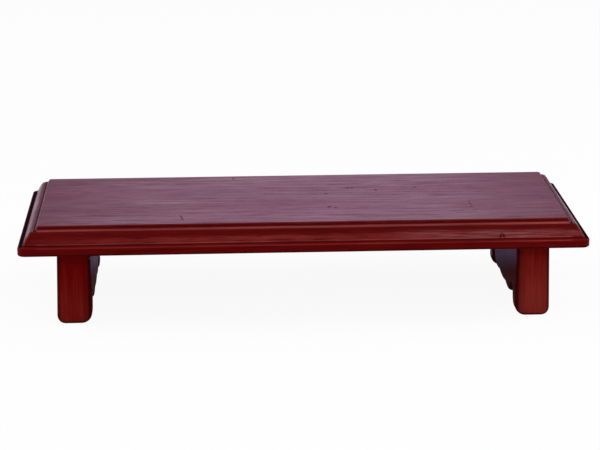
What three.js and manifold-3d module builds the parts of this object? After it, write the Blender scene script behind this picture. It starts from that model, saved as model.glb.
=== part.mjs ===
// A low wooden seat: a long top built up from two boards, standing on two solid board legs.
// Millimetres, +Z up. The origin is on the floor under the middle of the seat, +X runs along
// the seat's length and +Y runs from its front to its back.

import * as THREE from 'three';
import { mergeVertices } from 'three/addons/utils/BufferGeometryUtils.js';
import Module from 'manifold-3d';

const wasm = await Module();
wasm.setup();
const { degToRad, lerp } = THREE.MathUtils;

// The top as a whole.
const topLength = 610;
const topDepth = 235;

// The lower board of the top: a plain board with rounded arrises, whose edge is the square band.
const baseThickness = 10.2;
const baseTopArris = 2.2;
const baseBottomArris = 2.4;
const baseCornerRadius = 7;

// The upper board: from its foot up, a thin lip, a swelling moulding, a flat fillet that ends in a
// small cove, and the riser of the raised field that people sit on.
const ledgeWidth = 5.4;
const lipHeight = 1.9;
const lipBevelIn = 0.55;
const lipBevelDown = 1;
const swellSetIn = 0.8;
const swellRun = 8.6;
const swellHeight = 11.7;
const swellFootAngle = 67;
const swellHeadAngle = 18;
const filletWidth = 4.4;
const filletCove = 2;
const riserHeight = 4.7;
const riserLean = 0.9;
const fieldArris = 1.2;
const seatCornerRadius = 2.6;

// The legs: two boards on edge, running from front to back under the top.
const legHeight = 81.3;
const legThickness = 36;
const legFlare = 0.8;
const legSplay = 1.1;
const legEndOverhang = 40.2;
const legFrontSetback = 18.4;
const legArris = 4.5;
const legOuterSoleRadius = 9;
const legInnerSoleRadius = 11.5;

// The scalloped lower edge of a leg, seen from the side: a foot at each end, a notch beside it,
// and shallow lobes that meet in cusps between the two notches. Insets are from the leg's end.
const footLength = 16;
const footRounding = 4;
const notchPeakInset = 26.5;
const notchRise = 28;
const notchBreadth = 15;
const outerLobeInset = 56;
const outerLobeBreadth = 10;
const lobeRise = 11.5;
const cuspRise = 14;
const middleLobeWidth = 45;
const scallopEdgeRadius = 5;

// Fasteners: countersunk screws and round dowels, all hidden or on the underside.
const legScrew = {
  length: 50,
  headRadius: 4.7,
  rimHeight: 0.4,
  shankRadius: 2.5,
  shankLength: 17,
  rootRadius: 1.7,
  threadTurns: 6,
  tipLength: 5,
};
const seatScrew = {
  length: 20,
  headRadius: 3.9,
  rimHeight: 0.35,
  shankRadius: 2,
  shankLength: 7.5,
  rootRadius: 1.3,
  threadTurns: 3,
  tipLength: 3.5,
};
const screwSegments = 10;
const recessWidth = 1.1;
const recessDepth = 1.3;
const recessReach = 0.62;
const headSink = 0.3;
const legScrewEndInset = 38;
const seatScrewEndInset = 148;
const seatScrewEdgeInset = 44;
const dowelRadius = 4;
const dowelChamfer = 0.8;
const dowelInLeg = 18;
const dowelInSeat = 9;
const dowelEndInset = 68;
const dowelSegments = 16;

// The room kept round each fastener, and how far a cutter runs past a face that it opens.
const clearance = 0.3;
const cutterOverrun = 1;

// How finely curves are drawn.
const cornerSegments = 4;
const arrisSegments = 4;
const coveSegments = 3;
const swellSegments = 9;
const legSlices = 14;
const profileSegments = 5;

// Levels and places that follow from the sizes above.
const baseTop = legHeight + baseThickness;
const swellHead = {
  inset: ledgeWidth + swellSetIn + swellRun,
  height: baseTop + lipHeight + swellHeight,
};
const riserInset = swellHead.inset + filletWidth;
const seatTop = swellHead.height + riserHeight;
const legDepth = topDepth - 2 * legFrontSetback;
const legCentreX = topLength / 2 - legEndOverhang - legThickness / 2;

// Colours and finishes.
const lacquer = { color: '#5e1118', roughness: 0.32, metalness: 0 };
const legLacquer = { color: '#5a0d10', roughness: 0.38, metalness: 0 };
const steel = { color: '#8f8a80', roughness: 0.4, metalness: 1 };
const bareWood = { color: '#b98a5c', roughness: 0.7, metalness: 0 };

const seat = new THREE.Group();

function addPiece(name, geometry, finish) {
  const piece = new THREE.Mesh(geometry, new THREE.MeshStandardMaterial(finish));
  piece.name = name;
  seat.add(piece);
}

// A closed geometry as a solid that can be joined and cut.
function toSolid(geometry) {
  const bare = geometry.clone();
  bare.deleteAttribute('normal');
  bare.deleteAttribute('uv');
  const merged = mergeVertices(bare, 1e-4);
  return new wasm.Manifold(new wasm.Mesh({
    numProp: 3,
    vertProperties: new Float32Array(merged.getAttribute('position').array),
    triVerts: new Uint32Array(merged.getIndex().array),
  }));
}

function toGeometry(solid) {
  const mesh = solid.getMesh();
  const geometry = new THREE.BufferGeometry();
  geometry.setAttribute('position', new THREE.BufferAttribute(mesh.vertProperties, 3));
  geometry.setIndex(new THREE.BufferAttribute(mesh.triVerts, 1));
  geometry.computeVertexNormals();
  return geometry;
}

function cutAway(geometry, cutters) {
  let solid = toSolid(geometry);
  for (const cutter of cutters) {
    solid = solid.subtract(toSolid(cutter));
  }
  return toGeometry(solid);
}

// How far a quarter round of the given radius has fallen back, at a distance in from its face.
function roundedBack(radius, distance) {
  if (distance >= radius) {
    return 0;
  }
  return radius - Math.sqrt(radius ** 2 - (radius - distance) ** 2);
}

// Points of a quarter round, as steps in from a face and down from the level above it.
function quarterRound(radius, segments) {
  const steps = [];
  for (let i = 0; i <= segments; i += 1) {
    const angle = (i / segments) * Math.PI / 2;
    steps.push({ across: radius * (1 - Math.cos(angle)), along: radius * Math.sin(angle) });
  }
  return steps;
}

// One level of a board: a rectangle with round corners, counterclockwise from above.
function levelRing(level, cornerRadius) {
  const reachX = topLength / 2 - level.inset - cornerRadius;
  const reachY = topDepth / 2 - level.inset - cornerRadius;
  const ring = [];
  for (let corner = 0; corner < 4; corner += 1) {
    const centreX = corner === 0 || corner === 3 ? reachX : -reachX;
    const centreY = corner < 2 ? reachY : -reachY;
    for (let i = 0; i <= cornerSegments; i += 1) {
      const angle = (corner + i / cornerSegments) * Math.PI / 2;
      ring.push([
        centreX + cornerRadius * Math.cos(angle),
        centreY + cornerRadius * Math.sin(angle),
        level.height,
      ]);
    }
  }
  return ring;
}

// A board whose edge has one moulding all the way round. Its levels run from bottom to top, each
// with its height and its inset from the outline of the top.
function mouldedBoard(levels, cornerRadius) {
  const rings = levels.map((level) => levelRing(level, cornerRadius));
  const ringSize = rings[0].length;
  const centreBottom = rings.length * ringSize;
  const centreTop = centreBottom + 1;
  const triangles = [];
  for (let i = 0; i < ringSize; i += 1) {
    const next = (i + 1) % ringSize;
    for (let k = 0; k + 1 < rings.length; k += 1) {
      const lower = k * ringSize;
      const upper = lower + ringSize;
      triangles.push(lower + i, lower + next, upper + next);
      triangles.push(lower + i, upper + next, upper + i);
    }
    const lastRing = (rings.length - 1) * ringSize;
    triangles.push(centreBottom, next, i);
    triangles.push(centreTop, lastRing + i, lastRing + next);
  }
  const positions = rings.flat(2);
  positions.push(0, 0, levels[0].height);
  positions.push(0, 0, levels[levels.length - 1].height);
  const geometry = new THREE.BufferGeometry();
  geometry.setAttribute('position', new THREE.Float32BufferAttribute(positions, 3));
  geometry.setIndex(triangles);
  return geometry;
}

function baseBoardLevels() {
  const levels = [];
  for (const step of quarterRound(baseBottomArris, arrisSegments)) {
    levels.push({
      inset: baseBottomArris - step.along,
      height: legHeight + step.across,
    });
  }
  for (const step of quarterRound(baseTopArris, arrisSegments)) {
    levels.push({
      inset: step.across,
      height: baseTop - baseTopArris + step.along,
    });
  }
  return levels;
}

// The swell leaves the lip at its steep foot angle and bends over to its flat head angle. The
// point that pulls the curve is where the two slopes would meet.
function swellCurve() {
  const foot = new THREE.Vector2(ledgeWidth + swellSetIn, baseTop + lipHeight);
  const footSlope = Math.tan(degToRad(swellFootAngle));
  const headSlope = Math.tan(degToRad(swellHeadAngle));
  const pullAcross = (swellHeight - headSlope * swellRun) / (footSlope - headSlope);
  const pull = new THREE.Vector2(foot.x + pullAcross, foot.y + footSlope * pullAcross);
  const head = new THREE.Vector2(swellHead.inset, swellHead.height);
  return new THREE.QuadraticBezierCurve(foot, pull, head);
}

function seatBoardLevels() {
  const levels = [{ inset: ledgeWidth, height: baseTop }];
  levels.push({ inset: ledgeWidth, height: baseTop + lipHeight - lipBevelDown });
  levels.push({ inset: ledgeWidth + lipBevelIn, height: baseTop + lipHeight });
  for (const point of swellCurve().getPoints(swellSegments)) {
    levels.push({ inset: point.x, height: point.y });
  }
  for (const step of quarterRound(filletCove, coveSegments)) {
    levels.push({
      inset: riserInset - filletCove + step.along,
      height: swellHead.height + step.across,
    });
  }
  for (const step of quarterRound(fieldArris, arrisSegments)) {
    levels.push({
      inset: riserInset + riserLean + step.across,
      height: seatTop - fieldArris + step.along,
    });
  }
  return levels;
}

// A leg seen from the side. It is drawn from its front end, at the left, and the back half is the
// same line run the other way.
function legOutline() {
  const half = legDepth / 2;
  const sole = half - footRounding;
  const footEnd = half - footLength;
  const notch = half - notchPeakInset;
  const lobe = half - outerLobeInset;
  const cusp = middleLobeWidth / 2;
  const lobeShoulder = (lobe + cusp) / 2;
  const outline = new THREE.Shape();
  outline.moveTo(half, legHeight);
  outline.lineTo(-half, legHeight);
  outline.lineTo(-half, footRounding);
  outline.quadraticCurveTo(-half, 0, -sole, 0);
  outline.lineTo(-footEnd - footRounding, 0);
  outline.bezierCurveTo(-footEnd, 0, -footEnd, notchRise, -notch, notchRise);
  outline.bezierCurveTo(
    -notch + notchBreadth, notchRise,
    -lobe - outerLobeBreadth, lobeRise,
    -lobe, lobeRise,
  );
  outline.quadraticCurveTo(-lobeShoulder, lobeRise, -cusp, cuspRise);
  outline.quadraticCurveTo(0, 2 * lobeRise - cuspRise, cusp, cuspRise);
  outline.quadraticCurveTo(lobeShoulder, lobeRise, lobe, lobeRise);
  outline.bezierCurveTo(
    lobe + outerLobeBreadth, lobeRise,
    notch - notchBreadth, notchRise,
    notch, notchRise,
  );
  outline.bezierCurveTo(footEnd, notchRise, footEnd, 0, footEnd + footRounding, 0);
  outline.lineTo(sole, 0);
  outline.quadraticCurveTo(half, 0, half, footRounding);
  return outline;
}

// A leg is its outline drawn through its thickness in slices. Slices near a face are shorter and
// stand higher, which rounds the upright arrises and the whole scalloped edge. side is 1 for the
// leg whose outer face looks along +X, and -1 for the other.
function legBody(side) {
  const board = new THREE.ExtrudeGeometry(legOutline(), {
    depth: 1,
    steps: legSlices,
    curveSegments: profileSegments,
    bevelEnabled: false,
  });
  const position = board.getAttribute('position');
  const halfDepth = legDepth / 2;
  for (let i = 0; i < position.count; i += 1) {
    const y = position.getX(i);
    const z = position.getY(i);
    // Slices are spaced like the shadow of a turning spoke, so that they crowd at the faces.
    const across = (1 - Math.cos(position.getZ(i) * Math.PI)) / 2 * legThickness;
    const fromInner = side > 0 ? across : legThickness - across;
    const fromOuter = legThickness - fromInner;
    const scalloped = Math.min(z / lobeRise, 1);
    const soleRise = roundedBack(lerp(legInnerSoleRadius, scallopEdgeRadius, scalloped), fromInner)
      + roundedBack(lerp(legOuterSoleRadius, scallopEdgeRadius, scalloped), fromOuter);
    const endDrop = roundedBack(legArris, Math.min(fromInner, fromOuter));
    const depthBelowTop = (legHeight - z) / legHeight;
    const flare = 1 + (2 * legFlare / legThickness) * depthBelowTop;
    position.setXYZ(
      i,
      side * (legCentreX + legSplay * depthBelowTop) + (across - legThickness / 2) * flare,
      y * (1 - endDrop / halfDepth),
      z + soleRise * depthBelowTop,
    );
  }
  return board;
}

// A screw points down from the origin at the middle of its head's flat top.
function screwProfile(screw) {
  const neck = -screw.rimHeight - (screw.headRadius - screw.shankRadius);
  const profile = [
    new THREE.Vector2(0, -screw.length),
    new THREE.Vector2(screw.rootRadius, -screw.length + screw.tipLength),
  ];
  const threadBottom = -screw.length + screw.tipLength;
  const pitch = (-screw.shankLength - threadBottom) / screw.threadTurns;
  for (let turn = 0; turn < screw.threadTurns; turn += 1) {
    const start = threadBottom + turn * pitch;
    profile.push(new THREE.Vector2(screw.shankRadius, start + pitch / 2));
    profile.push(new THREE.Vector2(screw.rootRadius, start + pitch));
  }
  profile.push(new THREE.Vector2(screw.shankRadius, -screw.shankLength + pitch / 2));
  profile.push(new THREE.Vector2(screw.shankRadius, neck));
  profile.push(new THREE.Vector2(screw.headRadius, -screw.rimHeight));
  profile.push(new THREE.Vector2(screw.headRadius, 0));
  profile.push(new THREE.Vector2(0, 0));
  return profile;
}

// The cross recess that a driver turns is cut into the head.
function screwGeometry(screw) {
  const body = new THREE.LatheGeometry(screwProfile(screw), screwSegments);
  body.rotateX(Math.PI / 2);
  const arm = 2 * recessReach * screw.headRadius;
  const height = recessDepth + cutterOverrun;
  const middle = height / 2 - recessDepth;
  const first = new THREE.BoxGeometry(arm, recessWidth, height).translate(0, 0, middle);
  const second = new THREE.BoxGeometry(recessWidth, arm, height).translate(0, 0, middle);
  return cutAway(body, [first, second]);
}

// The hole that a screw lies in: its own outline without the thread, wider by the clearance and
// open above the head.
function screwHole(screw) {
  const neck = -screw.rimHeight - (screw.headRadius - screw.shankRadius);
  const profile = [
    new THREE.Vector2(0, -screw.length - clearance),
    new THREE.Vector2(screw.shankRadius + clearance, -screw.length - clearance),
    new THREE.Vector2(screw.shankRadius + clearance, neck),
    new THREE.Vector2(screw.headRadius + clearance, -screw.rimHeight),
    new THREE.Vector2(screw.headRadius + clearance, headSink + cutterOverrun),
    new THREE.Vector2(0, headSink + cutterOverrun),
  ];
  const hole = new THREE.LatheGeometry(profile, screwSegments);
  hole.rotateX(Math.PI / 2);
  return hole;
}

function dowelProfile(room) {
  const bottom = legHeight - dowelInLeg - room;
  const top = baseTop + dowelInSeat + room;
  const radius = dowelRadius + room;
  return [
    new THREE.Vector2(0, bottom),
    new THREE.Vector2(radius - dowelChamfer, bottom),
    new THREE.Vector2(radius, bottom + dowelChamfer),
    new THREE.Vector2(radius, top - dowelChamfer),
    new THREE.Vector2(radius - dowelChamfer, top),
    new THREE.Vector2(0, top),
  ];
}

function dowelGeometry(room) {
  const dowel = new THREE.LatheGeometry(dowelProfile(room), dowelSegments);
  dowel.rotateX(Math.PI / 2);
  return dowel;
}

// Where the fasteners stand. Leg screws have their heads in the top of the lower board, under the
// upper one. Seat screws come up through the lower board from below.
const legScrewReach = legDepth / 2 - legScrewEndInset;
const dowelReach = legDepth / 2 - dowelEndInset;
const seatScrewReachX = topLength / 2 - seatScrewEndInset;
const seatScrewReachY = topDepth / 2 - seatScrewEdgeInset;
const legSides = [['left', -1], ['right', 1]];
const legScrewPlaces = [['front', -1], ['middle', 0], ['back', 1]];
const dowelPlaces = [['front', -1], ['back', 1]];
const seatScrewColumns = [['left', -1], ['centre', 0], ['right', 1]];
const seatScrewRows = [['front', -1], ['back', 1]];

const legScrewHoles = [];
const seatScrewHoles = [];
const dowelHoles = [];

for (const [sideName, side] of legSides) {
  const x = side * legCentreX;
  for (const [placeName, place] of legScrewPlaces) {
    const y = place * legScrewReach;
    const z = baseTop - headSink;
    legScrewHoles.push({ side, hole: screwHole(legScrew).translate(x, y, z) });
    addPiece(
      `leg_screw_${sideName}_${placeName}`,
      screwGeometry(legScrew).translate(x, y, z),
      steel,
    );
  }
  for (const [placeName, place] of dowelPlaces) {
    const y = place * dowelReach;
    dowelHoles.push({ side, hole: dowelGeometry(clearance).translate(x, y, 0) });
    addPiece(`dowel_${sideName}_${placeName}`, dowelGeometry(0).translate(x, y, 0), bareWood);
  }
}

for (const [columnName, column] of seatScrewColumns) {
  for (const [rowName, row] of seatScrewRows) {
    const place = [column * seatScrewReachX, row * seatScrewReachY, legHeight + headSink];
    const upright = (geometry) => geometry.rotateX(Math.PI).translate(...place);
    seatScrewHoles.push(upright(screwHole(seatScrew)));
    addPiece(
      `seat_screw_${columnName}_${rowName}`,
      upright(screwGeometry(seatScrew)),
      steel,
    );
  }
}

for (const [sideName, side] of legSides) {
  const cutters = [...legScrewHoles, ...dowelHoles]
    .filter((entry) => entry.side === side)
    .map((entry) => entry.hole);
  addPiece(`leg_${sideName}`, cutAway(legBody(side), cutters), legLacquer);
}

const baseBoard = mouldedBoard(baseBoardLevels(), baseCornerRadius);
const baseCutters = [...legScrewHoles, ...dowelHoles].map((entry) => entry.hole);
addPiece('base_board', cutAway(baseBoard, [...baseCutters, ...seatScrewHoles]), lacquer);

const seatBoard = mouldedBoard(seatBoardLevels(), seatCornerRadius);
const seatCutters = [...dowelHoles.map((entry) => entry.hole), ...seatScrewHoles];
addPiece('seat_board', cutAway(seatBoard, seatCutters), lacquer);

export default seat;
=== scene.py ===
# A low wooden seat in glossy maroon lacquer: a long top of two boards on two board legs.
# Metres, in the frame of the solids: +X along the seat, +Y from its front to its back, +Z up.

import math

import bmesh
import bpy
from mathutils import Matrix, Vector, noise


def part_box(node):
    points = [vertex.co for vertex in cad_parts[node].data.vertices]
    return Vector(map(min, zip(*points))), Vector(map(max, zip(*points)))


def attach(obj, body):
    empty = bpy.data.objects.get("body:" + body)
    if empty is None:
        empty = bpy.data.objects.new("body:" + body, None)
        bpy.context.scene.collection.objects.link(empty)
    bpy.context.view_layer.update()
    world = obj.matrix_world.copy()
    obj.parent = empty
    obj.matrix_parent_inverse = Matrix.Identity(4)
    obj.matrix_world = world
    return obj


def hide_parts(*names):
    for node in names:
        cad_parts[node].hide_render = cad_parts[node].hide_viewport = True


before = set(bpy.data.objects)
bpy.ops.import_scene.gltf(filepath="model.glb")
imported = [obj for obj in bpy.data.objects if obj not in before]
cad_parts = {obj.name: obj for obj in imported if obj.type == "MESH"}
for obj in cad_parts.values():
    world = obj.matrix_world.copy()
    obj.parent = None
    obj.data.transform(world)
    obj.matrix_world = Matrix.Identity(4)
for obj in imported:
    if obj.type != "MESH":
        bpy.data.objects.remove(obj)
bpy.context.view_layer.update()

MM = 0.001

# The edge of the seat board, in millimetres: a thin lip, a swell, a flat fillet and a riser.
LIP_HEIGHT = 1.9
LIP_BEVEL_IN = 0.55
LIP_BEVEL_DOWN = 1.0
SWELL_SET_IN = 0.8
SWELL_RUN = 8.6
SWELL_HEIGHT = 11.7
SWELL_FOOT_ANGLE = 67
SWELL_HEAD_ANGLE = 18
FILLET_WIDTH = 4.4
FILLET_COVE = 2
RISER_LEAN = 0.9
FIELD_ARRIS = 1.2
SEAT_CORNER_RADIUS = 2.6

# The edge of the base board.
BASE_TOP_ARRIS = 2.2
BASE_BOTTOM_ARRIS = 2.4
BASE_CORNER_RADIUS = 7

# The first ring on a board's flat faces lies this many arris widths in from the edge.
FLAT_RING = 4

# The legs and their scalloped lower edge, with insets from a leg's end.
LEG_THICKNESS = 36
LEG_FLARE = 0.8
LEG_SPLAY = 1.1
LEG_ARRIS = 4.5
LEG_OUTER_SOLE_RADIUS = 9
LEG_INNER_SOLE_RADIUS = 11.5
FOOT_LENGTH = 16
FOOT_ROUNDING = 4
NOTCH_PEAK_INSET = 26.5
NOTCH_RISE = 28
NOTCH_BREADTH = 15
OUTER_LOBE_INSET = 56
OUTER_LOBE_BREADTH = 10
LOBE_RISE = 11.5
CUSP_RISE = 14
MIDDLE_LOBE_WIDTH = 45
SCALLOP_EDGE_RADIUS = 5

# The screws whose heads show on the underside.
SCREW_LENGTH = 20
SCREW_HEAD_RADIUS = 3.9
SCREW_RIM = 0.35
SCREW_RIM_BEVEL_IN = 0.15
SCREW_RIM_BEVEL_UP = 0.12
SCREW_SHANK_RADIUS = 2
SCREW_SHANK_LENGTH = 7.5
SCREW_ROOT_RADIUS = 1.3
SCREW_THREADS = 6
SCREW_TIP = 3.5
SCREW_POINT_RADIUS = 0.1
RECESS_WIDTH = 1.1
RECESS_DEPTH = 1.3
RECESS_REACH = 2.4
HEAD_SINK = 0.3
CLEARANCE = 0.3

# How far a cutter stands out of what it cuts.
OVERSHOOT = 1

# How far handwork strays from a true line, always inwards, and over what length.
STRAY = 0.14
STRAY_LENGTH = 70

# How finely curves are drawn, and how close to an edge the ring that supports it lies.
CORNER_STEPS = 10
LONG_STEPS = 60
SHORT_STEPS = 24
ARC_STEPS = 8
CURVE_STEPS = 14
LEG_SLICES = 40
ROUND_STEPS = 40
SUPPORT = 0.3
SHARP_ANGLE = math.radians(42)


def arc(centre, radius, first, last):
    """Points of an arc between two angles in degrees, as (inset, height)."""
    points = []
    for step in range(ARC_STEPS + 1):
        angle = math.radians(first + (last - first) * step / ARC_STEPS)
        points.append((centre[0] + radius * math.cos(angle), centre[1] + radius * math.sin(angle)))
    return points


def bezier(controls, steps=CURVE_STEPS):
    """Points of a Bezier curve of any degree, without its first point."""
    points = []
    degree = len(controls) - 1
    for step in range(1, steps + 1):
        t = step / steps
        weights = [
            math.comb(degree, i) * (1 - t) ** (degree - i) * t**i for i in range(degree + 1)
        ]
        points.append(tuple(sum(w * c[k] for w, c in zip(weights, controls)) for k in (0, 1)))
    return points


def seat_profile(height):
    """The seat board's edge from its foot to its field, as (inset, height)."""
    fillet = LIP_HEIGHT + SWELL_HEIGHT
    swell_foot = (SWELL_SET_IN, LIP_HEIGHT)
    swell_head = (SWELL_SET_IN + SWELL_RUN, fillet)
    foot_slope = math.tan(math.radians(SWELL_FOOT_ANGLE))
    head_slope = math.tan(math.radians(SWELL_HEAD_ANGLE))
    pull_across = (SWELL_HEIGHT - head_slope * SWELL_RUN) / (foot_slope - head_slope)
    pull = (SWELL_SET_IN + pull_across, LIP_HEIGHT + foot_slope * pull_across)
    riser = swell_head[0] + FILLET_WIDTH
    field = riser + RISER_LEAN
    points = [(0, 0), (0, SUPPORT), (0, LIP_HEIGHT - LIP_BEVEL_DOWN)]
    points += [(LIP_BEVEL_IN, LIP_HEIGHT), swell_foot]
    points += bezier([swell_foot, pull, swell_head], 2 * CURVE_STEPS)
    points += [(swell_head[0] + SUPPORT, fillet)]
    points += arc((riser - FILLET_COVE, fillet + FILLET_COVE), FILLET_COVE, 270, 360)
    points += arc((field + FIELD_ARRIS, height - FIELD_ARRIS), FIELD_ARRIS, 180, 90)
    points += [(field + FIELD_ARRIS + SUPPORT, height), (field + FLAT_RING * FIELD_ARRIS, height)]
    return points


def base_profile(height):
    """The base board's edge from its underside to its top, as (inset, height)."""
    low, high = BASE_BOTTOM_ARRIS, BASE_TOP_ARRIS
    points = [(FLAT_RING * low, 0), (low + SUPPORT, 0)]
    points += arc((low, low), low, 270, 180)
    points += [(0, low + SUPPORT), (0, height - high - SUPPORT)]
    points += arc((high, height - high), high, 180, 90)
    points += [(high + SUPPORT, height), (FLAT_RING * high, height)]
    return points


def rounded_outline(half_x, half_y, radius):
    """Points round a rectangle with round corners, with their outward directions."""
    arcs = []
    for corner in range(4):
        centre_x = (half_x - radius) * (1 if corner in (0, 3) else -1)
        centre_y = (half_y - radius) * (1 if corner < 2 else -1)
        for step in range(CORNER_STEPS + 1):
            angle = (corner + step / CORNER_STEPS) * math.pi / 2
            out = Vector((math.cos(angle), math.sin(angle)))
            arcs.append((Vector((centre_x, centre_y)) + radius * out, out))
    points = []
    for corner in range(4):
        first = corner * (CORNER_STEPS + 1)
        points += arcs[first : first + CORNER_STEPS + 1]
        start, out = points[-1]
        end = arcs[(first + CORNER_STEPS + 1) % len(arcs)][0]
        steps = LONG_STEPS if corner % 2 == 0 else SHORT_STEPS
        points += [(start.lerp(end, step / steps), out) for step in range(1, steps)]
    return points


def stray(x, y, z):
    """How far handwork has gone inwards at a point, in millimetres."""
    place = Vector((x, y, z)) / STRAY_LENGTH
    return STRAY * (0.5 + 0.5 * noise.noise(place))


def mesh_of(name, rings):
    """A closed mesh through rings of points in millimetres, from the first to the last."""
    bm = bmesh.new()
    loops = [[bm.verts.new(Vector(point) * MM) for point in ring] for ring in rings]
    for lower, upper in zip(loops, loops[1:]):
        for i in range(len(lower)):
            after = (i + 1) % len(lower)
            bm.faces.new((lower[i], lower[after], upper[after], upper[i]))
    bm.faces.new(reversed(loops[0]))
    bm.faces.new(loops[-1])
    bmesh.ops.recalc_face_normals(bm, faces=bm.faces)
    for face in bm.faces:
        face.smooth = True
    mesh = bpy.data.meshes.new(name)
    bm.to_mesh(mesh)
    bm.free()
    return mesh


def moulded_board(node, profile, corner_radius):
    """A board whose edge has one moulding all the way round."""
    low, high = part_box(node)
    half_x, half_y = high.x / MM, high.y / MM
    rings = []
    for inset, height in profile((high.z - low.z) / MM):
        ring = []
        for point, out in rounded_outline(half_x - inset, half_y - inset, corner_radius):
            place = point - out * stray(point.x, point.y, height)
            ring.append((place.x, place.y, low.z / MM + height))
        rings.append(ring)
    return mesh_of(f"{node}_lacquered", rings)


def leg_outline(half, height):
    """A leg seen from the side as (y, z), from the top of its front to the top of its back."""
    sole = half - FOOT_ROUNDING
    foot_end = half - FOOT_LENGTH
    notch = half - NOTCH_PEAK_INSET
    lobe = half - OUTER_LOBE_INSET
    cusp = MIDDLE_LOBE_WIDTH / 2
    shoulder = (lobe + cusp) / 2
    front = [(-half, height), (-half, height / 2), (-half, FOOT_ROUNDING)]
    front += bezier([(-half, FOOT_ROUNDING), (-half, 0), (-sole, 0)])
    front += [(-foot_end - FOOT_ROUNDING, 0)]
    front += bezier(
        [
            (-foot_end - FOOT_ROUNDING, 0),
            (-foot_end, 0),
            (-foot_end, NOTCH_RISE),
            (-notch, NOTCH_RISE),
        ]
    )
    front += bezier(
        [
            (-notch, NOTCH_RISE),
            (-notch + NOTCH_BREADTH, NOTCH_RISE),
            (-lobe - OUTER_LOBE_BREADTH, LOBE_RISE),
            (-lobe, LOBE_RISE),
        ]
    )
    front += bezier([(-lobe, LOBE_RISE), (-shoulder, LOBE_RISE), (-cusp, CUSP_RISE)])
    middle = bezier([(-cusp, CUSP_RISE), (0, 2 * LOBE_RISE - CUSP_RISE), (cusp, CUSP_RISE)])
    back = [(-y, z) for y, z in reversed(front)]
    return front + middle[:-1] + back


def fallen_back(radius, distance):
    """How far a quarter round has fallen back, at a distance in from its face."""
    if distance >= radius:
        return 0
    return radius - math.sqrt(radius**2 - (radius - distance) ** 2)


def mixed(first, second, share):
    """A number between two others, by the second one's share."""
    return first + (second - first) * share


def leg_mesh(node, side):
    """A leg in slices through its thickness, which get shorter and rise near its faces."""
    low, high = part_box(node)
    height = high.z / MM
    half = high.y / MM
    middle = (abs(low.x) + abs(high.x)) / 2 / MM - LEG_SPLAY
    rings = []
    for step in range(LEG_SLICES + 1):
        across = (1 - math.cos(math.pi * step / LEG_SLICES)) / 2 * LEG_THICKNESS
        from_inner = across if side > 0 else LEG_THICKNESS - across
        from_outer = LEG_THICKNESS - from_inner
        end_drop = fallen_back(LEG_ARRIS, min(from_inner, from_outer))
        ring = []
        for y, z in leg_outline(half, height):
            scalloped = min(z / LOBE_RISE, 1)
            inner = mixed(LEG_INNER_SOLE_RADIUS, SCALLOP_EDGE_RADIUS, scalloped)
            outer = mixed(LEG_OUTER_SOLE_RADIUS, SCALLOP_EDGE_RADIUS, scalloped)
            rise = fallen_back(inner, from_inner) + fallen_back(outer, from_outer)
            below_top = (height - z) / height
            flare = 1 + 2 * LEG_FLARE / LEG_THICKNESS * below_top
            x = side * (middle + LEG_SPLAY * below_top) + (across - LEG_THICKNESS / 2) * flare
            ring.append((x, y * (1 - end_drop / half), z + rise * below_top))
        rings.append(ring)
    return mesh_of(node, rings)


def turned(name, profile):
    """A closed mesh turned round the Z axis from (radius, height) points in millimetres."""
    rings = []
    for radius, height in profile:
        ring = []
        for step in range(ROUND_STEPS):
            angle = 2 * math.pi * step / ROUND_STEPS
            ring.append((radius * math.cos(angle), radius * math.sin(angle), height))
        rings.append(ring)
    return mesh_of(name, rings)


def linked(name, data):
    """A new object for a mesh, a lamp or a camera, linked to the scene."""
    made = bpy.data.objects.new(name, data)
    bpy.context.scene.collection.objects.link(made)
    return made


def cut_away(name, mesh, cutters):
    """The mesh with the cutter meshes taken out of it."""
    body = linked(name, mesh)
    tools = [linked(f"{name}_cutter", cutter) for cutter in cutters]
    for tool in tools:
        cut = body.modifiers.new("cut", "BOOLEAN")
        cut.operation = "DIFFERENCE"
        cut.solver = "EXACT"
        cut.object = tool
    graph = bpy.context.evaluated_depsgraph_get()
    result = bpy.data.meshes.new_from_object(body.evaluated_get(graph))
    for used in [body, *tools]:
        bpy.data.objects.remove(used)
    result.name = name
    return result


def box_mesh(size_x, size_y, low_z, high_z):
    """A box round the Z axis, in millimetres."""
    outline = [(1, 1), (-1, 1), (-1, -1), (1, -1)]
    rings = [[(x * size_x / 2, y * size_y / 2, z) for x, y in outline] for z in (low_z, high_z)]
    return mesh_of("box", rings)


def screw_mesh():
    """A countersunk screw that points up from the middle of its head's flat face."""
    neck = SCREW_RIM + SCREW_HEAD_RADIUS - SCREW_SHANK_RADIUS
    thread_end = SCREW_LENGTH - SCREW_TIP
    pitch = (thread_end - SCREW_SHANK_LENGTH) / SCREW_THREADS
    profile = [(SCREW_HEAD_RADIUS - SCREW_RIM_BEVEL_IN, 0)]
    profile += [(SCREW_HEAD_RADIUS, SCREW_RIM_BEVEL_UP), (SCREW_HEAD_RADIUS, SCREW_RIM)]
    profile += [(SCREW_SHANK_RADIUS, neck), (SCREW_SHANK_RADIUS, SCREW_SHANK_LENGTH)]
    for turn in range(SCREW_THREADS):
        start = SCREW_SHANK_LENGTH + turn * pitch
        profile += [(SCREW_ROOT_RADIUS, start + pitch / 2), (SCREW_SHANK_RADIUS, start + pitch)]
    profile += [(SCREW_ROOT_RADIUS, thread_end + pitch / 4), (SCREW_POINT_RADIUS, SCREW_LENGTH)]
    arms = [
        box_mesh(2 * RECESS_REACH, RECESS_WIDTH, -OVERSHOOT, RECESS_DEPTH),
        box_mesh(RECESS_WIDTH, 2 * RECESS_REACH, -OVERSHOOT, RECESS_DEPTH),
    ]
    return cut_away("screw", turned("screw", profile), arms)


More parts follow.
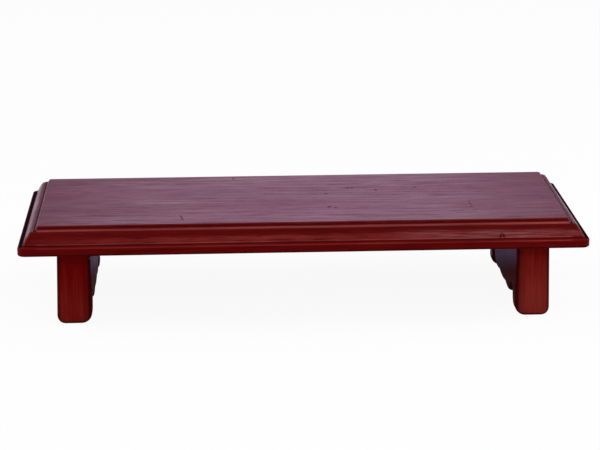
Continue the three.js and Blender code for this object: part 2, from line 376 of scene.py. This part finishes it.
def countersink_mesh():
    """The mouth of a screw's hole, which points up from the underside."""
    radius = SCREW_HEAD_RADIUS + CLEARANCE
    rim = HEAD_SINK + SCREW_RIM
    neck = rim + radius - SCREW_SHANK_RADIUS
    profile = [(radius, -OVERSHOOT), (radius, rim)]
    profile += [(SCREW_SHANK_RADIUS, neck), (SCREW_SHANK_RADIUS, neck + OVERSHOOT)]
    return turned("countersink", profile)


class NodeMaker:
    """Adds nodes to a tree in one call each. An input is a socket or a plain value."""

    def __init__(self, tree):
        self.tree = tree

    def add(self, kind, inputs=None, **settings):
        """A new node with its settings and inputs."""
        node = self.tree.nodes.new("ShaderNode" + kind)
        for key, value in settings.items():
            setattr(node, key, value)
        self.fill(node, inputs or {})
        return node

    def fill(self, node, inputs):
        """Links or sets the inputs of a node."""
        for key, value in inputs.items():
            if isinstance(value, bpy.types.NodeSocket):
                self.tree.links.new(value, node.inputs[key])
            else:
                node.inputs[key].default_value = value

    def place(self):
        """Where a point of the surface lies in the frame."""
        return self.add("TexCoord").outputs["Object"]

    def stretched_noise(self, place, counts, detail=3.0, roughness=0.55):
        """Noise round 0.5 with that many waves to the metre along X, Y and Z."""
        stretch = self.add("Mapping", {"Vector": place, "Scale": counts})
        found = self.add(
            "TexNoise",
            {
                "Vector": stretch.outputs["Vector"],
                "Scale": 1.0,
                "Detail": detail,
                "Roughness": roughness,
            },
        )
        return found.outputs["Fac"]

    def levels(self, value, low, high, to_low=0.0, to_high=1.0):
        """A value brought from one range to another, and kept inside it."""
        ranged = self.add(
            "MapRange",
            {
                "Value": value,
                "From Min": low,
                "From Max": high,
                "To Min": to_low,
                "To Max": to_high,
            },
        )
        return ranged.outputs["Result"]

    def over(self, value, stretch, to_low=0.0, to_high=1.0):
        """The same for a value in metres, over a stretch in millimetres."""
        first, last = stretch
        return self.levels(value, first * MM, last * MM, to_low, to_high)

    def between(self, value, low, high, fade):
        """1 where a value lies between two limits, falling to 0 outside them."""
        above = self.levels(value, low - fade, low + fade)
        below = self.levels(value, high - fade, high + fade, 1.0, 0.0)
        return self.product(above, below)

    def within(self, value, stretch, fade):
        """The same for a value in metres, with a stretch and a fade in millimetres."""
        first, last = stretch
        return self.between(value, first * MM, last * MM, fade * MM)

    def parts(self, vector):
        """The X, Y and Z of a vector, by name."""
        return self.add("SeparateXYZ", {"Vector": vector}).outputs

    def length(self, vector):
        """How long a vector is."""
        return self.add("VectorMath", {0: vector}, operation="LENGTH").outputs["Value"]

    def combine(self, operation, first, *others):
        """Values brought together one after another by the same operation."""
        result = first
        for other in others:
            node = self.add("Math", {0: result, 1: other}, operation=operation)
            result = node.outputs["Value"]
        return result

    def total(self, *values):
        return self.combine("ADD", *values)

    def product(self, *values):
        return self.combine("MULTIPLY", *values)

    def largest(self, *values):
        return self.combine("MAXIMUM", *values)

    def size_of(self, value):
        """A value without its sign."""
        return self.combine("ABSOLUTE", value, 0.0)

    def mix(self, share, first, second):
        """A colour between two others, by the second one's share."""
        node = self.add("MixRGB", {"Fac": share, "Color1": first, "Color2": second})
        return node.outputs["Color"]

    def bump(self, height, strength, distance, normal=None):
        """A normal that is tilted by a pattern of heights."""
        inputs = {"Height": height, "Strength": strength, "Distance": distance}
        if normal is not None:
            inputs["Normal"] = normal
        return self.add("Bump", inputs).outputs["Normal"]


class MaterialMaker(NodeMaker):
    """Adds nodes to a new material."""

    def __init__(self, name):
        self.material = bpy.data.materials.new(name)
        self.material.use_nodes = True
        super().__init__(self.material.node_tree)
        self.shader = self.tree.nodes["Principled BSDF"]


def colour(red, green, blue):
    """A colour that is fully opaque."""
    return (red, green, blue, 1.0)


# The colours of the lacquer's layers; all but the pores and marks are painted light and shade.
PORE_COLOUR = colour(0.028, 0.0008, 0.0008)
POLISH_SHEEN_COLOUR = colour(0.5, 0.35, 0.42)
SWELL_HIGHLIGHT_COLOUR = colour(0.55, 0.42, 0.46)
RIM_HIGHLIGHT_COLOUR = colour(0.5, 0.1, 0.09)
ARRIS_SHADE_COLOUR = colour(0.02, 0.0007, 0.0007)
INSIDE_SHADE_COLOUR = colour(0.05, 0.001, 0.006)
INSIDE_REFLECTION_COLOUR = colour(0.11, 0.055, 0.14)
UNDERSIDE_SHADE_COLOUR = colour(0.02, 0.001, 0.001)
END_SHADE_COLOUR = colour(0.012, 0.002, 0.008)
TOP_MARK_COLOUR = colour(0.03, 0.002, 0.004)
LEG_MARK_COLOUR = colour(0.3, 0.12, 0.11)

# How thick the layers lie, from 0 to 1.
PORES = 0.5
POLISH_SHEEN = 0.15
SWELL_HIGHLIGHT = 0.15
ARRIS_SHADE = 0.7
INNER_FRONT_SHADE = 0.55
INSIDE_PAINT = 0.85
UNDERSIDE_SHADE = 0.8

# How far the roughness strays from its mean, along the streaks and in broad clouds.
STREAK_SHEEN = (-0.05, 0.07)
CLOUD_HAZE = (-0.02, 0.05)

# How much rougher or glossier the layers make it.
UNDERSIDE_ROUGHER = 0.6
END_SHADE_ROUGHER = 0.6
MARK_ROUGHER = 0.45
INSIDE_GLOSSIER = 0.3

# Where they lie, in millimetres from the middle of the seat, or up from the floor.
POLISH_SHEEN_THINS = (170, 280)
SWELL_HIGHLIGHT_SPAN = (120, 275)
RIM_HIGHLIGHTS_BRIGHTEN = (190, 235)
RIM_HIGHLIGHTS_END = (283, 287)
LEG_LOW_SPAN = (72, 20)
LEFT_TO_RIGHT = (-200, 200)
INNER_FRONT_SHADE_SPAN = (230, 240)
INSIDE = (-170, -220)
INSIDE_REFLECTION_SPAN = (20, 40)
INSIDE_REFLECTION_SLOPE = 0.32

# How softly they end, and how far they lie beyond the edges that they follow.
SWELL_HIGHLIGHT_FADE = 40
SWELL_HIGHLIGHT_TOP_FADE = 0.5
RIM_HIGHLIGHT_FADE = 0.2
END_SHADE_FADE = 0.4
FIELD_EDGE = (-1.5, -0.5)
FILLET_HIGHLIGHT_LIFT = 0.3
RISER_SHADE = (-1, 2.4)

# The legs: how calm their grain is, and how much lighter they are toward the floor and at the top,
# each for the left leg and for the right one. The right leg is painted lighter, as more light
# falls on it.
LEG_CALM = 0.5
LEG_LOW_LIGHTER = (0.35, 0.84)
LEG_TOP_LIGHTER = (-0.245, -0.07)

# Small marks in the lacquer of the top, found on it from above in millimetres: the middle, the
# length and width, and the turn in degrees.
TOP_MARKS = [
    (30, 14, 5, 3.4, 0),
    (30, -40, 4.5, 4.2, 20),
    (37, -44, 3, 3.6, 0),
    (56, 38, 4, 4.6, 0),
    (61, 38, 2.6, 3.6, 0),
    (87, 28, 4, 5, 10),
    (132, 36, 6, 3, 0),
    (-73, 86, 3, 5, 0),
    (-131, -74, 21, 1.5, -81),
]
TOP_MARKS += [(186, y, 2.4, 4, 0) for y in (-26, -36, -46)]
TOP_MARKS += [(x, -110.8, 4.4, 1.9, turn) for x, turn in ((209, 42), (212.4, -42))]

# The same on the fronts of the legs, from the middle and from the floor.
LEG_MARKS = [
    (-229, 73, 4, 1.2, 4),
    (271, 70, 4.5, 1.2, -8),
]

# How a mark fades from its middle out, in halves of its size.
MARK_SOLID = 0.4
MARK_GONE = 1.2


class Lacquer(MaterialMaker):
    """Maroon lacquer over wood whose grain runs along one axis: 0 is X and 2 is Z.

    wood is its colour and rough its roughness, and each layer that is added changes them.
    """

    def __init__(self, name, along):
        super().__init__(name)
        self.along = along
        self.surface = self.place()
        self.spot = self.parts(self.surface)
        self.facing = self.parts(self.add("NewGeometry").outputs["Normal"])
        self.from_middle = self.size_of(self.spot["X"])
        self.endwise = self.size_of(self.facing["X"])
        self.dashes = self.broken_lines()
        self.streaks = self.grain(32, 270, detail=4.0, roughness=0.6)
        self.pores = self.grain(55, 1500, detail=2.0)
        self.cloud = self.stretched_noise(self.surface, (7, 11, 11), detail=2.0)
        self.normal = self.relief()

    def grain(self, length_count, width_count, **settings):
        """Noise with that many waves to the metre along the grain and across it."""
        counts = [width_count] * 3
        counts[self.along] = length_count
        return self.stretched_noise(self.surface, counts, **settings)

    def broken_lines(self):
        """Lines round 0.5 along the grain, which come and go."""
        lines = self.levels(self.grain(9, 190, roughness=0.6), 0.3, 0.7, -0.22, 0.22)
        strength = self.levels(self.grain(40, 80), 0.35, 0.65, 0.2, 1.5)
        return self.total(self.product(lines, strength), 0.5)

    def relief(self):
        """The lacquer's unevenness: each pattern with its strength and depth, the finest first."""
        fine = self.bump(self.pores, 0.12, 0.2 * MM)
        streaked = self.bump(self.streaks, 0.5, 0.4 * MM, fine)
        lined = self.bump(self.dashes, 0.6, 0.6 * MM, streaked)
        return self.bump(self.cloud, 0.25, 1.2 * MM, lined)

    def grain_tone(self):
        """How light the wood is: broad bands, dashes, streaks and fine threads."""
        bands = self.levels(self.grain(2.6, 40, detail=4.0), 0.3, 0.7, 0.0, 0.4)
        dashes = self.levels(self.dashes, 0.32, 0.68, 0.0, 0.35)
        streaks = self.levels(self.streaks, 0.35, 0.68, 0.0, 0.25)
        threads = self.levels(self.grain(14, 520, detail=2.0), 0.35, 0.65, -0.3, 0.3)
        return self.total(bands, dashes, streaks, threads)

    def leg_tone(self):
        """The same for a leg: lighter toward the floor, and painted lighter on the right, where
        more light falls.
        """
        toward_floor = self.over(self.spot["Z"], LEG_LOW_SPAN)
        low_lighter = self.over(self.spot["X"], LEFT_TO_RIGHT, *LEG_LOW_LIGHTER)
        at_top = self.over(self.spot["X"], LEFT_TO_RIGHT, *LEG_TOP_LIGHTER)
        calm = self.product(self.grain_tone(), LEG_CALM)
        return self.total(calm, self.product(toward_floor, low_lighter), at_top)

    def lay_wood(self, tone, dark, light):
        """The wood under the lacquer, between a dark and a light colour, with its pores."""
        self.wood = self.mix(tone, dark, light)
        self.paint(self.levels(self.pores, 0.62, 0.72, 0.0, PORES), PORE_COLOUR)

    def lay_gloss(self, roughness, rougher_ends):
        """How rough the lacquer is, and how much rougher where it faces along X."""
        sheen = self.levels(self.streaks, 0.3, 0.7, *STREAK_SHEEN)
        haze = self.levels(self.cloud, 0.4, 0.65, *CLOUD_HAZE)
        ends = self.levels(self.endwise, 0.1, 0.5, 0.0, rougher_ends)
        self.rough = self.total(sheen, roughness, haze, ends)

    def paint(self, share, shade):
        """Lays a colour over the wood, as thickly as share says."""
        self.wood = self.mix(share, self.wood, shade)

    def roughen(self, share, amount):
        """Makes the lacquer rougher by an amount, or glossier by one below 0."""
        self.rough = self.total(self.rough, self.product(share, amount))

    def add_polish_and_sheen(self, field_height):
        """A thin, streaky film of dull polish on the field, with a painted violet sheen, thinner
        toward the ends.
        """
        streaky = self.levels(self.total(self.dashes, self.streaks), 0.77, 1.23, 0.05, 2.0)
        blotches = self.stretched_noise(self.surface, (6, 20, 11), detail=2.0)
        uneven = self.levels(blotches, 0.35, 0.65, 0.7, 1.35)
        level = self.levels(self.facing["Z"], 0.93, 0.995, 0.0, POLISH_SHEEN)
        kept = self.over(self.from_middle, POLISH_SHEEN_THINS, 1.0, 0.4)
        edge = [field_height + rise for rise in FIELD_EDGE]
        on_field = self.over(self.spot["Z"], edge, 0.3, 1.0)
        self.paint(self.product(level, kept, streaky, uneven, on_field), POLISH_SHEEN_COLOUR)

    def add_swell_highlight(self, highest):
        """A painted highlight in pale streaks on the right half of the moulding's swell, below a
        height.
        """
        streaks = self.levels(self.grain(28, 1000, detail=4.0), 0.42, 0.62, 0.0, SWELL_HIGHLIGHT)
        below = self.over(self.spot["Z"], (highest - SWELL_HIGHLIGHT_TOP_FADE, highest), 1.0, 0.0)
        slanted = self.between(self.facing["Z"], 0.3, 0.56, 0.06)
        on_right = self.within(self.spot["X"], SWELL_HIGHLIGHT_SPAN, SWELL_HIGHLIGHT_FADE)
        self.paint(self.product(streaks, below, slanted, on_right), SWELL_HIGHLIGHT_COLOUR)

    def paint_rim_highlight(self, height, reach, amount):
        """A painted highlight line along an edge: where it lies, how far it reaches and how much.
        """
        on_rim = self.within(self.spot["Z"], (height - reach, height + reach), RIM_HIGHLIGHT_FADE)
        broken = self.levels(self.dashes, 0.35, 0.6, 0.5 * amount, 1.2 * amount)
        before_ends = self.over(self.from_middle, RIM_HIGHLIGHTS_END, 1.0, 0.2)
        brighter = self.over(self.spot["X"], RIM_HIGHLIGHTS_BRIGHTEN, 1.0, 1.5)
        self.paint(self.product(on_rim, broken, before_ends, brighter), RIM_HIGHLIGHT_COLOUR)

    def paint_arris_shade(self):
        """Painted shade on a leg's arrises and on the inner part of its front, next to the inner
        corner.
        """
        arris = self.between(self.endwise, 0.25, 0.9, 0.1)
        self.paint(self.product(arris, ARRIS_SHADE), ARRIS_SHADE_COLOUR)
        inner_front = self.over(self.from_middle, INNER_FRONT_SHADE_SPAN, INNER_FRONT_SHADE, 0.0)
        self.paint(inner_front, ARRIS_SHADE_COLOUR)

    def paint_inside_reflection(self):
        """A leg's inner face: painted shade below, and glossier with a painted violet reflection
        of the lit floor above.
        """
        inward = self.product(self.facing["X"], self.spot["X"])
        inside = self.over(inward, INSIDE, 0.0, INSIDE_PAINT)
        slanting = self.total(self.spot["Z"], self.product(self.spot["Y"], INSIDE_REFLECTION_SLOPE))
        upper = self.over(slanting, INSIDE_REFLECTION_SPAN)
        self.paint(inside, self.mix(upper, INSIDE_SHADE_COLOUR, INSIDE_REFLECTION_COLOUR))
        self.roughen(self.product(inside, upper), -INSIDE_GLOSSIER)

    def paint_underside_shade(self):
        """What faces down is dull, and painted dark as shade."""
        downward = self.levels(self.facing["Z"], -0.02, -0.35, 0.0, UNDERSIDE_SHADE)
        self.paint(downward, UNDERSIDE_SHADE_COLOUR)
        self.roughen(downward, UNDERSIDE_ROUGHER)

    def paint_end_shade(self, nearest, farthest):
        """Painted shade on what lies level at both ends, between two distances from the middle."""
        level = self.levels(self.facing["Z"], 0.85, 0.95)
        at_end = self.within(self.from_middle, (nearest, farthest), END_SHADE_FADE)
        end_shade = self.product(level, at_end)
        self.paint(end_shade, END_SHADE_COLOUR)
        self.roughen(end_shade, END_SHADE_ROUGHER)

    def mark_mask(self, flat_place, mark):
        """1 inside one small oval mark, falling to 0 outside it."""
        x, y, length, width, turn = mark
        inside = self.add(
            "Mapping",
            {
                "Vector": flat_place,
                "Location": (x * MM, y * MM, 0),
                "Rotation": (0, 0, math.radians(turn)),
                "Scale": (length / 2 * MM, width / 2 * MM, 1),
            },
            vector_type="TEXTURE",
        )
        return self.levels(self.length(inside.outputs["Vector"]), MARK_SOLID, MARK_GONE, 1.0, 0.0)

    def add_marks(self, marks, upward, shade):
        """Small ragged hollows, placed along X and the axis that is upward in their list."""
        flat = self.add("CombineXYZ", {"X": self.spot["X"], "Y": self.spot[upward]})
        spots = self.largest(*[self.mark_mask(flat.outputs["Vector"], mark) for mark in marks])
        ragged = self.product(spots, self.levels(self.grain(300, 900), 0.25, 0.42))
        self.paint(ragged, shade)
        self.roughen(ragged, MARK_ROUGHER)
        hollow = self.combine("SUBTRACT", 1.0, ragged)
        self.normal = self.bump(hollow, 0.6, 0.5 * MM, self.normal)

    def finish(self, ior, tint):
        """The finished material, with how strongly it mirrors and in what colour."""
        self.fill(
            self.shader,
            {
                "Base Color": self.wood,
                "Roughness": self.rough,
                "Normal": self.normal,
                "IOR": ior,
                "Specular Tint": tint,
            },
        )
        return self.material


def make_top_lacquer():
    """The seat board's glossy lacquer: polish with painted sheen, painted highlights and shade,
    and marks.
    """
    seat_low, seat_high = (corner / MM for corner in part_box("seat_board"))
    fillet_height = seat_low.z + LIP_HEIGHT + SWELL_HEIGHT
    riser_end = seat_high.x - (SWELL_SET_IN + SWELL_RUN + FILLET_WIDTH)
    lacquer = Lacquer("top_lacquer", along=0)
    lacquer.lay_wood(
        lacquer.grain_tone(),
        dark=colour(0.062, 0.0008, 0.0008),
        light=colour(0.115, 0.0026, 0.0022),
    )
    lacquer.lay_gloss(0.16, rougher_ends=0.14)
    lacquer.add_polish_and_sheen(seat_high.z)
    lacquer.add_swell_highlight(fillet_height)
    lacquer.paint_rim_highlight(seat_low.z + LIP_HEIGHT - LIP_BEVEL_DOWN / 2, reach=0.5, amount=0.3)
    lacquer.paint_rim_highlight(fillet_height + FILLET_HIGHLIGHT_LIFT, reach=0.4, amount=0.42)
    lacquer.paint_rim_highlight(seat_high.z - FIELD_ARRIS / 2, reach=0.4, amount=0.1)
    lacquer.paint_underside_shade()
    lacquer.paint_end_shade(*[riser_end + shift for shift in RISER_SHADE])
    lacquer.add_marks(TOP_MARKS, "Y", TOP_MARK_COLOUR)
    return lacquer.finish(ior=1.42, tint=colour(1.0, 0.16, 0.14))


def make_base_lacquer():
    """The base board's duller lacquer, with a painted highlight on its rim and painted shade on
    its ledge.
    """
    seat_low, seat_high = (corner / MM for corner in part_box("seat_board"))
    base_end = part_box("base_board")[1].x / MM
    lacquer = Lacquer("base_lacquer", along=0)
    lacquer.lay_wood(
        lacquer.grain_tone(),
        dark=colour(0.082, 0.001, 0.0009),
        light=colour(0.14, 0.004, 0.0036),
    )
    lacquer.lay_gloss(0.3, rougher_ends=0.2)
    lacquer.paint_rim_highlight(seat_low.z - BASE_TOP_ARRIS / 2, reach=0.5, amount=0.2)
    lacquer.paint_underside_shade()
    lacquer.paint_end_shade(seat_high.x, base_end)
    return lacquer.finish(ior=1.16, tint=colour(1.0, 0.1, 0.1))


def make_leg_lacquer():
    """The legs' lacquer: upright grain, painted shade on arrises, painted reflection and shade
    inside.
    """
    lacquer = Lacquer("leg_lacquer", along=2)
    lacquer.lay_wood(
        lacquer.leg_tone(),
        dark=colour(0.13, 0.0002, 0.0002),
        light=colour(0.21, 0.021, 0.015),
    )
    lacquer.lay_gloss(0.5, rougher_ends=0.5)
    lacquer.paint_arris_shade()
    lacquer.paint_inside_reflection()
    lacquer.paint_underside_shade()
    lacquer.add_marks(LEG_MARKS, "Z", LEG_MARK_COLOUR)
    return lacquer.finish(ior=1.25, tint=colour(1.0, 0.06, 0.05))


def make_steel():
    """Zinc-plated steel with fine turning lines and a mottled plating."""
    maker = MaterialMaker("screw_steel")
    place = maker.place()
    mottle = maker.stretched_noise(place, (900, 900, 900), detail=4.0)
    lines = maker.stretched_noise(place, (300, 300, 9000), detail=2.0)
    maker.fill(
        maker.shader,
        {
            "Base Color": maker.mix(mottle, colour(0.30, 0.29, 0.26), colour(0.56, 0.54, 0.49)),
            "Metallic": 1.0,
            "Roughness": maker.levels(mottle, 0.3, 0.7, 0.28, 0.5),
            "Normal": maker.bump(lines, 0.15, 0.1 * MM),
        },
    )
    return maker.material


def make_dowel_wood():
    """Turned, unfinished wood with its grain upright."""
    maker = MaterialMaker("dowel_wood")
    grain = maker.stretched_noise(maker.place(), (900, 900, 40), detail=4.0)
    tone = maker.levels(grain, 0.3, 0.7)
    maker.fill(
        maker.shader,
        {
            "Base Color": maker.mix(tone, colour(0.34, 0.19, 0.09), colour(0.56, 0.36, 0.19)),
            "Roughness": 0.75,
            "Normal": maker.bump(grain, 0.3, 0.3 * MM),
        },
    )
    return maker.material


def new_piece(name, mesh, material):
    """Adds a mesh as a piece of the seat that rides with it."""
    mesh.materials.append(material)
    mesh.set_sharp_from_angle(angle=SHARP_ANGLE)
    piece = linked(name, mesh)
    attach(piece, "root")
    return piece


def make_seat_board(material):
    """The upper board of the top, with its moulding."""
    mesh = moulded_board("seat_board", seat_profile, SEAT_CORNER_RADIUS)
    seat = new_piece("seat_board_lacquered", mesh, material)
    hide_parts("seat_board")


def seat_screw_places():
    """Where each screw that shows on the underside meets it, by the name of its node."""
    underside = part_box("base_board")[0].z
    places = {}
    for node in sorted(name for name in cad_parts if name.startswith("seat_screw")):
        low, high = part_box(node)
        places[node] = Vector(((low.x + high.x) / 2, (low.y + high.y) / 2, underside))
    return places


def make_base_board(material, screw_places):
    """The lower board of the top, countersunk from below for its screws."""
    countersinks = []
    for place in screw_places:
        countersink = countersink_mesh()
        countersink.transform(Matrix.Translation(place))
        countersinks.append(countersink)
    board = moulded_board("base_board", base_profile, BASE_CORNER_RADIUS)
    mesh = cut_away("base_board_lacquered", board, countersinks)
    base = new_piece("base_board_lacquered", mesh, material)
    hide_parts("base_board")


def make_legs(material):
    """The two legs, the right one as the left one's mirror image."""
    for side_name, side in (("left", -1), ("right", 1)):
        node = f"leg_{side_name}"
        leg = new_piece(f"{node}_lacquered", leg_mesh(node, side), material)
        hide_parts(node)


def make_seat_screws(material, screw_places):
    """The screws that show on the underside, with their heads sunk in it."""
    pattern = screw_mesh()
    for node, place in screw_places.items():
        mesh = pattern.copy()
        mesh.transform(Matrix.Translation(place + Vector((0, 0, HEAD_SINK * MM))))
        screw = new_piece(f"{node}_turned", mesh, material)
        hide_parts(node)


def colour_hidden(steel, dowel_wood):
    """Gives the fasteners inside, which stay as they are, their materials."""
    for node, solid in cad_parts.items():
        if node.startswith("leg_screw"):
            solid.data.materials.clear()
            solid.data.materials.append(steel)
        elif node.startswith("dowel"):
            solid.data.materials.clear()
            solid.data.materials.append(dowel_wood)


# The studio, in metres: a white floor that fades into the horizon far off, soft lamps, and a dim
# violet sky.
FLOOR_HALF = 12
FLOOR_GLOW = 0.93
FLOOR_COLOUR = colour(0.97, 0.97, 0.97)
FLOOR_WHITE_TO = 3.5
FLOOR_FADED_FROM = 9
HORIZON_COLOUR = colour(0.36, 0.24, 0.42)

# The sky's colours by height, from 0 at the horizon to 1 overhead.
SKY_STOPS = [
    (0.0, HORIZON_COLOUR),
    (0.25, colour(0.14, 0.10, 0.15)),
    (0.7, colour(0.34, 0.34, 0.36)),
]

# Soft panels of light in the sky: the turn from the back toward the right and the height, both
# in degrees, how far they are even and how far they reach, and the colour.
SKY_PANELS = [
    (3.6, 21, 3, 12, colour(0.62, 0.43, 0.70)),
    (-19, 6, 4, 11, colour(0.14, 0.17, 0.36)),
]

# The lamps: the name, the place, the size and the power in watts.
LAMPS = [
    ("front", (0.75, -2.38, 1.82), (2.6, 0.5), 18),
    ("left", (-2.6, 0.0, 1.9), (2.2, 2.0), 48),
    ("right", (2.6, 0.0, 1.9), (2.2, 2.0), 48),
]
LAMP_TARGET = Vector((0, 0, 0.1))

# The camera: its lens and sensor in millimetres, its place, and its right, up and forward.
LENS = 120.5
SENSOR_WIDTH = 36
CAMERA_PLACE = Vector((-0.1072, -2.1536, 0.7080))
CAMERA_RIGHT = Vector((0.9987, -0.0504, -0.0022))
CAMERA_UP = Vector((0.0162, 0.2800, 0.9599))
CAMERA_FORWARD = Vector((0.0477, 0.9587, -0.2805))


def make_floor():
    """A floor that looks white and still takes the seat's shadow."""
    corners = [(1, 1), (-1, 1), (-1, -1), (1, -1)]
    mesh = bpy.data.meshes.new("floor")
    mesh.from_pydata([(x * FLOOR_HALF, y * FLOOR_HALF, 0) for x, y in corners], [], [(0, 1, 2, 3)])
    floor = linked("floor", mesh)
    maker = MaterialMaker("floor")
    rays = maker.add("LightPath").outputs
    seen = maker.largest(rays["Is Camera Ray"], rays["Is Glossy Ray"], rays["Is Transmission Ray"])
    maker.fill(
        maker.shader,
        {"Base Color": FLOOR_COLOUR, "Roughness": 1.0, "Specular IOR Level": 0.0},
    )
    glow = maker.add("Emission", {"Color": colour(1, 1, 1), "Strength": 1.0})
    white = maker.add(
        "MixShader",
        {
            "Fac": maker.product(seen, FLOOR_GLOW),
            1: maker.shader.outputs["BSDF"],
            2: glow.outputs["Emission"],
        },
    )
    reach = maker.length(maker.place())
    distant = maker.add("Emission", {"Color": HORIZON_COLOUR, "Strength": 1.0})
    faded = maker.add(
        "MixShader",
        {
            "Fac": maker.levels(reach, FLOOR_WHITE_TO, FLOOR_FADED_FROM),
            1: white.outputs["Shader"],
            2: distant.outputs["Emission"],
        },
    )
    maker.fill(maker.tree.nodes["Material Output"], {"Surface": faded.outputs["Shader"]})
    mesh.materials.append(maker.material)


def make_sky():
    """A dim violet sky with soft pale panels of light behind the seat."""
    world = bpy.data.worlds.new("sky")
    bpy.context.scene.world = world
    world.use_nodes = True
    maker = NodeMaker(world.node_tree)
    direction = maker.add("TexCoord").outputs["Generated"]
    ramp = maker.add("ValToRGB", {"Fac": maker.parts(direction)["Z"]})
    stops = ramp.color_ramp.elements
    stops[0].position, stops[0].color = SKY_STOPS[0]
    stops[1].position, stops[1].color = SKY_STOPS[-1]
    for position, shade in SKY_STOPS[1:-1]:
        stops.new(position).color = shade

    lit = ramp.outputs["Color"]
    for turn, rise, inner, outer, shade in SKY_PANELS:
        turn, rise, inner, outer = (math.radians(angle) for angle in (turn, rise, inner, outer))
        to_panel = (
            math.sin(turn) * math.cos(rise),
            math.cos(turn) * math.cos(rise),
            math.sin(rise),
        )
        nearness = maker.add("VectorMath", {0: direction, 1: to_panel}, operation="DOT_PRODUCT")
        glow = maker.levels(nearness.outputs["Value"], math.cos(outer), math.cos(inner))
        added = maker.add(
            "MixRGB", {"Fac": glow, "Color1": lit, "Color2": shade}, blend_type="ADD"
        )
        lit = added.outputs["Color"]
    maker.fill(maker.tree.nodes["Background"], {"Color": lit, "Strength": 1.0})


def make_lamp(name, place, size, watts):
    """A rectangular lamp that faces the seat."""
    lamp = bpy.data.lights.new(name, "AREA")
    lamp.shape = "RECTANGLE"
    lamp.size, lamp.size_y = size
    lamp.energy = watts
    holder = linked(name, lamp)
    holder.location = place
    toward = LAMP_TARGET - Vector(place)
    holder.rotation_euler = toward.to_track_quat("-Z", "Y").to_euler()


def make_camera():
    """The camera that takes the photo's view."""
    camera = linked("camera", bpy.data.cameras.new("camera"))
    camera.data.lens = LENS
    camera.data.sensor_width = SENSOR_WIDTH
    camera.data.sensor_fit = "HORIZONTAL"
    turn = Matrix((CAMERA_RIGHT, CAMERA_UP, -CAMERA_FORWARD)).transposed().to_4x4()
    camera.matrix_world = Matrix.Translation(CAMERA_PLACE) @ turn
    bpy.context.scene.camera = camera


top_lacquer = make_top_lacquer()
base_lacquer = make_base_lacquer()
leg_lacquer = make_leg_lacquer()
steel = make_steel()
dowel_wood = make_dowel_wood()

screw_places = seat_screw_places()
make_seat_board(top_lacquer)
make_base_board(base_lacquer, screw_places.values())
make_legs(leg_lacquer)
make_seat_screws(steel, screw_places)
colour_hidden(steel, dowel_wood)

make_floor()
make_sky()
for name, place, size, watts in LAMPS:
    make_lamp(name, place, size, watts)
make_camera()
bpy.context.scene.view_settings.view_transform = "Standard"
